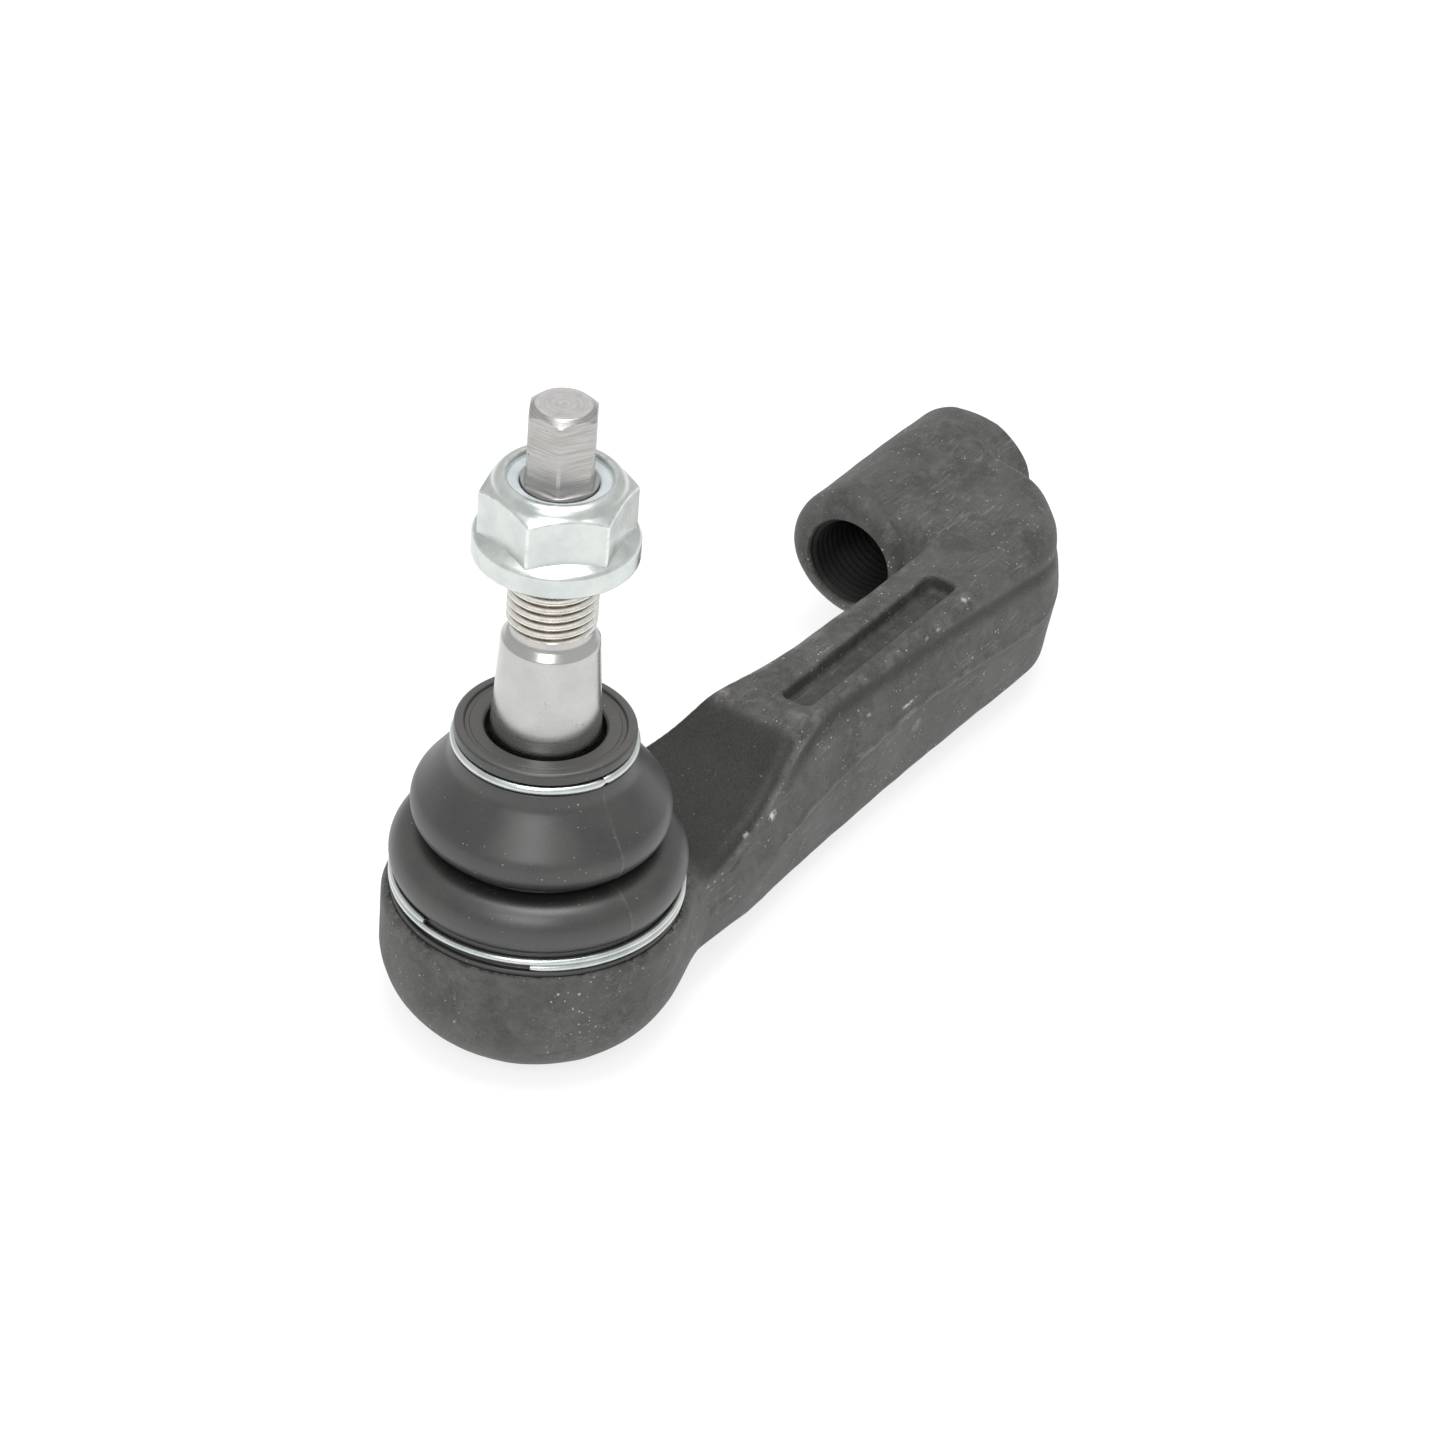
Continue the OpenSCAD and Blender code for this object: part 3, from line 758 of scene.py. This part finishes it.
# ---- cover plate
# its underside from the middle out, its rim, and its top back to the middle
cover_rows = [(0.8, 0.5), (2.6, 0.5), (5.0, 0.5), (6.2, 0.42), (6.9, 0.22), (7.5, 0.05), (8.2, 0.0),
              (10.0, 0.0), (12.0, 0.0), (12.8, 0.04), (13.2, 0.22), (13.6, 0.62), (13.9, 0.8), (14.3, 0.87),
              (15.4, 0.87), (16.3, 0.87), (16.52, 0.92), (16.6, 1.1), (16.6, 2.0), (16.6, 2.8),
              (16.45, 3.0), (15.0, 3.0), (13.6, 3.0), (13.2, 2.85), (12.5, 2.2), (12.0, 2.0), (8.0, 2.0),
              (4.0, 2.0), (0.8, 2.0)]
points, faces = turned(*even_rings(cover_rows, DISC_COLUMNS), full_turn(DISC_COLUMNS))
cover = make("cover_plate_disc", points, faces, "housing", 45.0, ["cover_plate"])


# ---- materials
class Look:
    """Builds one node material. Sockets and plain numbers can be mixed in its calls."""

    def __init__(self, name, place="object"):
        self.material = bpy.data.materials.new(name)
        self.material.use_nodes = True
        self.tree = self.material.node_tree
        self.shader = self.tree.nodes["Principled BSDF"]
        if place == "object":
            source = self.node("ShaderNodeTexCoord").outputs["Object"]
            self.place = self.vector("SCALE", source, scale=1 / MM)
        else:
            self.place = self.attribute(place, "Vector")

    def node(self, kind, **settings):
        made = self.tree.nodes.new(kind)
        for key, value in settings.items():
            setattr(made, key, value)
        return made

    def put(self, socket, value):
        if isinstance(value, bpy.types.NodeSocket):
            self.tree.links.new(value, socket)
        elif socket.type == "RGBA":
            socket.default_value = (*value, 1)
        else:
            socket.default_value = value

    def attribute(self, name, output="Fac"):
        return self.node("ShaderNodeAttribute", attribute_name=name).outputs[output]

    def vector(self, operation, a, b=None, scale=None):
        made = self.node("ShaderNodeVectorMath", operation=operation)
        self.put(made.inputs[0], a)
        if b is not None:
            self.put(made.inputs[1], b)
        if scale is not None:
            self.put(made.inputs["Scale"], scale)
        return made.outputs["Value" if operation == "LENGTH" else "Vector"]

    def math(self, operation, a, b=0.0, clamp=False):
        made = self.node("ShaderNodeMath", operation=operation, use_clamp=clamp)
        self.put(made.inputs[0], a)
        self.put(made.inputs[1], b)
        return made.outputs[0]

    def times(self, a, b):
        return self.math("MULTIPLY", a, b)

    def noise(self, scale, detail=2.0, roughness=0.5, stretch=None, place=None, distortion=0.0):
        place = place or self.place
        if stretch:
            place = self.vector("MULTIPLY", place, stretch)
        made = self.node("ShaderNodeTexNoise")
        self.put(made.inputs["Vector"], place)
        for key, value in (("Scale", scale), ("Detail", detail), ("Roughness", roughness),
                           ("Distortion", distortion)):
            made.inputs[key].default_value = value
        return made.outputs["Fac"]

    def ramp(self, value, start, end, low=0.0, high=1.0):
        made = self.node("ShaderNodeMapRange", interpolation_type="SMOOTHSTEP")
        for socket, given in zip(made.inputs, (value, start, end, low, high)):
            self.put(socket, given)
        return made.outputs[0]

    def mix(self, factor, a, b):
        made = self.node("ShaderNodeMix", data_type="RGBA")
        self.put(made.inputs[0], factor)
        self.put(made.inputs[6], a)
        self.put(made.inputs[7], b)
        return made.outputs[2]

    def dots(self, scale, size, share):
        """Small round specks: 1 inside a speck. share of the cells hold one."""
        made = self.node("ShaderNodeTexVoronoi", feature="F1")
        self.put(made.inputs["Vector"], self.place)
        made.inputs["Scale"].default_value = scale
        chosen = self.node("ShaderNodeSeparateColor")
        self.put(chosen.inputs[0], made.outputs["Color"])
        reach = self.times(chosen.outputs[1], size)
        near = self.math("LESS_THAN", made.outputs["Distance"], reach)
        return self.times(near, self.math("GREATER_THAN", chosen.outputs[0], 1 - share))

    def lines(self, scale, stretch, width, detail=3.0, distortion=0.0):
        """Fine contour lines of a stretched noise: 1 on a line."""
        value = self.noise(scale, detail, 0.55, stretch, distortion=distortion)
        away = self.math("ABSOLUTE", self.math("SUBTRACT", value, 0.5))
        return self.ramp(away, 0.0, width, 1.0, 0.0)

    def bump(self, height, distance, strength):
        """Normals of a fine relief. distance is in millimetres."""
        made = self.node("ShaderNodeBump")
        made.inputs["Strength"].default_value = strength
        made.inputs["Distance"].default_value = distance * MM
        self.put(made.inputs["Height"], height)
        return made.outputs[0]

    def coat(self, factor, colour):
        """Lays a colour over the colour so far, where factor is above 0."""
        self.colour = self.mix(factor, self.colour, colour)

    def finish(self, roughness, normal=None, **fixed):
        self.put(self.shader.inputs["Base Color"], self.colour)
        self.put(self.shader.inputs["Roughness"], roughness)
        if normal is not None:
            self.put(self.shader.inputs["Normal"], normal)
        for key, value in fixed.items():
            self.put(self.shader.inputs[key.replace("_", " ")], value)
        return self.material


def forged_look():
    """Dark phosphated forging: mottled grey with a sandy grain, rubbed edges with a painted highlight,
    scratches, bright specks, and painted shade in its hollows and on the slope.
    """
    look = Look("forged_steel_finish")
    mottle = look.noise(0.09, 4, 0.6)
    cloud = look.noise(0.42, 5, 0.62)
    grain = look.noise(2.6, 3, 0.7)
    look.colour = look.mix(look.ramp(mottle, 0.36, 0.64), (0.040, 0.0395, 0.0365), (0.070, 0.070, 0.069))
    look.coat(look.ramp(cloud, 0.42, 0.72, 0.0, 0.7), (0.106, 0.105, 0.101))
    dark_patch = look.ramp(look.noise(0.2, 4, 0.6, distortion=0.6), 0.53, 0.68, 0.0, 0.62)
    look.coat(dark_patch, (0.030, 0.030, 0.029))
    warm = look.ramp(look.noise(0.22, 3, 0.5), 0.52, 0.72, 0.0, 0.4)
    look.coat(warm, (0.068, 0.062, 0.048))
    look.coat(look.ramp(grain, 0.3, 0.8, 0.0, 0.42), (0.125, 0.124, 0.12))
    patch = look.ramp(look.noise(0.12, 3, 0.6), 0.43, 0.62)
    long_lines = look.lines(0.55, (0.08, 1.0, 1.0), 0.018)
    cross_lines = look.lines(0.42, (1.0, 0.7, 0.16), 0.007, distortion=0.6)
    turned_lines = look.lines(0.3, (0.5, 0.5, 2.4), 0.006, distortion=0.3)
    faint_lines = look.times(look.math("MAXIMUM", cross_lines, turned_lines), 0.6)
    scratch = look.math("MAXIMUM", long_lines, faint_lines)
    scratch = look.times(scratch, patch)
    scratch = look.times(scratch, look.math("SUBTRACT", 1.0, look.attribute("painted_shade"), True))
    look.coat(look.times(scratch, 0.45), (0.23, 0.226, 0.215))
    # rubbed edges, lightened further as a painted highlight
    edge = look.ramp(look.attribute("edge"), 0.12, 0.42)
    edge_highlight = look.times(edge, look.ramp(look.noise(0.25, 3, 0.5), 0.44, 0.66))
    look.coat(look.times(edge_highlight, 0.34), (0.21, 0.207, 0.2))
    pits = look.dots(0.7, 0.16, 0.12)
    look.coat(look.times(pits, 0.6), (0.02, 0.02, 0.019))
    # painted shade in the groove, recess, lap and bore, and darker on the slope's upward faces
    painted_shade = look.attribute("painted_shade")
    sandy = look.ramp(grain, 0.3, 0.75)
    painted_shade_colour = look.mix(sandy, (0.009, 0.0095, 0.0075), (0.026, 0.026, 0.023))
    look.coat(look.times(painted_shade, 0.9), painted_shade_colour)
    specks = look.math("MAXIMUM", look.dots(0.42, 0.12, 0.4), look.dots(1.3, 0.24, 0.5))
    specks = look.times(specks, look.ramp(look.noise(0.16, 3), 0.42, 0.60))
    specks = look.times(specks, look.math("SUBTRACT", 1.0, look.times(painted_shade, 0.8)))
    look.coat(look.times(specks, 0.75), (0.46, 0.45, 0.41))
    ragged = look.ramp(look.noise(1.3, 3, 0.6), 0.36, 0.5)
    # bare metal chips, with a painted highlight along the edge right of the slope
    look.coat(look.times(look.attribute("chips_and_highlight"), ragged), (0.60, 0.59, 0.56))
    rough = look.ramp(cloud, 0.2, 0.8, 0.48, 0.64)
    rough = look.math("SUBTRACT", rough, look.times(edge_highlight, 0.12))
    relief = look.math("ADD", grain, look.times(cloud, 1.2))
    relief = look.math("SUBTRACT", relief, pits)
    relief = look.math("SUBTRACT", relief, look.times(scratch, 0.3))
    return look.finish(rough, look.bump(relief, 0.10, 0.8), Specular_IOR_Level=0.38)


def rubber_look():
    """Satin black rubber with a bloom, dust and short fibres."""
    look = Look("boot_rubber_finish", "rest_place")
    cloud = look.noise(0.13, 3, 0.55)
    fine = look.noise(3.5, 2, 0.6)
    look.colour = look.mix(look.ramp(cloud, 0.3, 0.7), (0.015, 0.015, 0.0155), (0.027, 0.027, 0.0245))
    look.coat(look.ramp(fine, 0.4, 0.8, 0.0, 0.3), (0.055, 0.055, 0.054))
    # the upward faces at the top of the lip are painted lighter
    look.coat(look.ramp(look.attribute("upward"), 0.6, 0.95), (0.070, 0.068, 0.062))
    dust = look.math("MAXIMUM", look.dots(0.5, 0.09, 0.5), look.dots(1.5, 0.17, 0.25))
    dust = look.times(dust, look.ramp(look.noise(0.2, 2), 0.4, 0.56))
    fibre = look.times(look.lines(0.6, (1.0, 0.7, 0.5), 0.004, 2.0),
                       look.ramp(look.noise(0.6, 1), 0.66, 0.7))
    dust = look.math("MAXIMUM", dust, look.times(fibre, 0.5))
    look.coat(look.times(dust, 0.7), (0.36, 0.35, 0.33))
    seam_line = look.times(look.ramp(look.attribute("seam"), 0.2, 0.9),
                           look.ramp(look.noise(1.2, 2), 0.4, 0.6, 0.25, 1.0))
    look.coat(look.times(seam_line, 0.22), (0.2, 0.19, 0.17))
    rough = look.ramp(cloud, 0.25, 0.75, 0.36, 0.44)
    relief = look.math("ADD", fine, look.times(dust, 0.6))
    return look.finish(rough, look.bump(relief, 0.02, 0.5), Specular_IOR_Level=0.95)


def ground_look():
    """Ground steel below the thread: fine rings and small marks."""
    look = Look("stud_ground_finish")
    rings = look.noise(1.0, 4, 0.7, (0.12, 0.12, 7.0))
    cloud = look.noise(0.25, 3, 0.6)
    look.colour = look.mix(look.ramp(cloud, 0.3, 0.7), (0.50, 0.497, 0.485), (0.55, 0.547, 0.532))
    marks = look.times(look.lines(0.4, (1.0, 1.0, 0.5), 0.006, 2.0),
                       look.ramp(look.noise(0.35, 1), 0.58, 0.66))
    look.coat(look.times(marks, 0.5), (0.25, 0.23, 0.22))
    rough = look.ramp(rings, 0.3, 0.7, 0.22, 0.30)
    return look.finish(rough, look.bump(rings, 0.0012, 0.3), Metallic=1.0)


def thread_look():
    """Rolled thread, a little browned, with painted shade in the roots."""
    look = Look("stud_thread_finish")
    out = look.vector("LENGTH", look.vector("MULTIPLY", look.place, (1.0, 1.0, 0.0)))
    # painted shade: darker from the crests down to the roots
    depth = look.ramp(out, THREAD_ROOT + 0.1, THREAD_R - 0.3)
    cloud = look.noise(0.6, 3, 0.6)
    look.colour = look.mix(depth, (0.25, 0.21, 0.17), (0.98, 0.965, 0.93))
    look.coat(look.ramp(cloud, 0.4, 0.7, 0.0, 0.35), (0.6, 0.57, 0.52))
    grain = look.noise(4.0, 3, 0.6)
    rough = look.ramp(grain, 0.3, 0.7, 0.2, 0.32)
    return look.finish(rough, look.bump(grain, 0.01, 0.5), Metallic=1.0)


def milled_look():
    """Milled flats of the hex tip, with level cutter marks."""
    look = Look("stud_milled_finish")
    cuts = look.noise(1.0, 4, 0.75, (0.14, 0.14, 4.2))
    cloud = look.noise(0.5, 3, 0.6)
    look.colour = look.mix(look.ramp(cuts, 0.32, 0.68), (0.35, 0.337, 0.324), (0.57, 0.557, 0.543))
    look.coat(look.ramp(cloud, 0.4, 0.7, 0.0, 0.3), (0.5, 0.49, 0.48))
    pits = look.dots(0.8, 0.12, 0.08)
    look.coat(pits, (0.05, 0.05, 0.05))
    rough = look.ramp(cuts, 0.3, 0.7, 0.3, 0.42)
    return look.finish(rough, look.bump(cuts, 0.03, 0.6), Metallic=1.0)


def faced_look():
    """Turned end face with rings about the axis."""
    look = Look("stud_faced_finish")
    out = look.vector("LENGTH", look.vector("MULTIPLY", look.place, (1.0, 1.0, 0.0)))
    wave = look.node("ShaderNodeCombineXYZ")
    look.put(wave.inputs[0], out)
    rings = look.noise(2.2, 3, 0.6, None, wave.outputs[0])
    cloud = look.noise(0.6, 3, 0.6)
    look.colour = look.mix(look.ramp(rings, 0.35, 0.65), (0.66, 0.65, 0.645), (0.78, 0.77, 0.765))
    look.coat(look.ramp(cloud, 0.4, 0.7, 0.0, 0.3), (0.48, 0.46, 0.45))
    rough = look.ramp(rings, 0.3, 0.7, 0.32, 0.44)
    return look.finish(rough, look.bump(rings, 0.02, 0.6), Metallic=1.0)


def zinc_look(name, edges=False):
    """Bright zinc plate with a pale blue tint, small grain and, when edges is set, a painted highlight along
    its edges.
    """
    look = Look(name)
    cloud = look.noise(0.22, 3, 0.6)
    grain = look.noise(3.2, 3, 0.6)
    look.colour = look.mix(look.ramp(cloud, 0.3, 0.7), (0.56, 0.605, 0.585), (0.70, 0.735, 0.71))
    look.coat(look.ramp(grain, 0.3, 0.8, 0.0, 0.35), (0.60, 0.64, 0.63))
    rough = look.ramp(cloud, 0.3, 0.7, 0.24, 0.36)
    if edges:
        # painted highlight along the nut's edges
        edge_highlight = look.times(look.ramp(look.attribute("edge"), 0.9, 1.8),
                            look.ramp(look.noise(0.9, 3, 0.6), 0.35, 0.6))
        look.coat(look.times(edge_highlight, 0.6), (0.9, 0.9, 0.88))
    return look.finish(rough, look.bump(grain, 0.012, 0.5), Metallic=1.0)


def moulded_look(name, dark, light, rough_low, rough_high, **fixed):
    """Plain moulded plastic with a faint grain; it also paints the rod thread dark as the shade in the bore.
    """
    look = Look(name)
    cloud = look.noise(0.3, 3, 0.5)
    grain = look.noise(2.5, 3, 0.6)
    look.colour = look.mix(look.ramp(cloud, 0.3, 0.7), dark, light)
    look.coat(look.ramp(grain, 0.4, 0.8, 0.0, 0.2), light)
    rough = look.ramp(grain, 0.3, 0.7, rough_low, rough_high)
    return look.finish(rough, look.bump(grain, 0.02, 0.5), **fixed)


def dress(obj, *materials):
    """Gives an object its materials in place of those it has."""
    obj.data.materials.clear()
    for material in materials:
        obj.data.materials.append(material)


dress(forging, forged_look())
zinc = zinc_look("zinc_steel_finish")
# the rod thread is painted near black, standing in for the shade inside the bore
dress(rod_thread, moulded_look("rod_thread_painted_shade", (0.008, 0.008, 0.0075), (0.016, 0.0155, 0.0145), 0.5, 0.6,
                               Metallic=0.0, Specular_IOR_Level=0.22))
dress(stud, ground_look(), thread_look(), milled_look(), faced_look())
centres = np.empty(len(stud.data.polygons) * 3, np.float32)
stud.data.polygons.foreach_get("center", centres)
centre_z = centres.reshape(-1, 3)[:, 2] / MM
zone = np.zeros(len(centre_z), np.int32)
for zone_start in (THREAD_Z[0] - 0.1, TIP_FOOT - 0.3, TIP_Z - 0.02):
    zone += centre_z > zone_start
stud.data.polygons.foreach_set("material_index", zone)
black = rubber_look()
for piece, finish in ((lower_boot, black), (upper_boot, black), (lower_ring, zinc), (upper_ring, zinc),
                      (cover, zinc)):
    dress(piece, finish)
dress(nut, zinc_look("zinc_nut_finish", True))
dress(insert, moulded_look("nylon_finish", (0.58, 0.61, 0.63), (0.66, 0.69, 0.70), 0.35, 0.45,
                           Subsurface_Weight=0.1))
seat_plastic = moulded_look("seat_plastic_finish", (0.62, 0.60, 0.54), (0.72, 0.70, 0.64), 0.35, 0.5)
spring_steel = zinc_look("spring_steel_finish")
for node, finish in (("lower_seat", seat_plastic), ("upper_seat", seat_plastic),
                     ("preload_spring", spring_steel)):
    for material_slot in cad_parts[node].material_slots:
        material_slot.material = finish

# ---- floor, light and camera
floor_mesh = bpy.data.meshes.new("floor")
floor_points = [(FLOOR_R * math.cos(t), FLOOR_R * math.sin(t), FLOOR_Z) for t in full_turn(64)]
floor_mesh.from_pydata(floor_points, [], [tuple(range(64))])
floor = add("floor", floor_mesh)
floor_look = Look("floor_paper")
paper = floor_look.noise(0.02, 2)
floor_look.colour = floor_look.mix(paper, (0.3, 0.3, 0.3), (0.32, 0.32, 0.32))
dress(floor, floor_look.finish(0.9, Specular_IOR_Level=0.1, Emission_Color=(1, 1, 1), Emission_Strength=0.76))

world = bpy.data.worlds.new("studio")
bpy.context.scene.world = world
world.use_nodes = True
sky = world.node_tree.nodes["Background"].inputs
sky["Color"].default_value = (1, 1, 1, 1)
sky["Strength"].default_value = 0.68


def softbox(name, place, target, size, power):
    """A soft square light. Its place and target are in metres."""
    data = bpy.data.lights.new(name, "AREA")
    data.shape = "SQUARE"
    data.size = size
    data.energy = power
    lamp = add(name, data)
    lamp.location = place
    lamp.rotation_mode = "QUATERNION"
    lamp.rotation_quaternion = (Vector(target) - Vector(place)).to_track_quat("-Z", "Y")


softbox("top_light", (0.0, -0.05, 1.2), (0.05, 0, 0.03), 0.6, 6.6)
softbox("camera_light", (-0.86, -0.4, 1.0), (0.0, 0, 0.03), 0.62, 5.0)

CAMERA_TURNS = (-58.2, 35.8, 4.7)
CAMERA_DISTANCE = 0.8
CAMERA_LENS = 127.8
AIM_RIGHT = 0.02891
AIM_UP = 0.02406
AIM_Z = 0.024
azimuth, elevation, roll = (math.radians(turn) for turn in CAMERA_TURNS)
back = Vector((math.sin(azimuth) * math.cos(elevation), -math.cos(azimuth) * math.cos(elevation),
               math.sin(elevation)))
level = Vector((0, 0, 1)).cross(back).normalized()
above = back.cross(level)
right = level * math.cos(roll) + above * math.sin(roll)
up = above * math.cos(roll) - level * math.sin(roll)
camera_data = bpy.data.cameras.new("camera")
camera_data.lens = CAMERA_LENS
camera_data.sensor_width = 36
camera_data.clip_start = 0.05
camera_data.clip_end = 50
camera = add("camera", camera_data)
place = Vector((0, 0, AIM_Z)) + right * AIM_RIGHT + up * AIM_UP + back * CAMERA_DISTANCE
camera.matrix_world = Matrix.Translation(place) @ Matrix((right, up, back)).transposed().to_4x4()
bpy.context.scene.camera = camera
bpy.context.scene.view_settings.view_transform = "Standard"
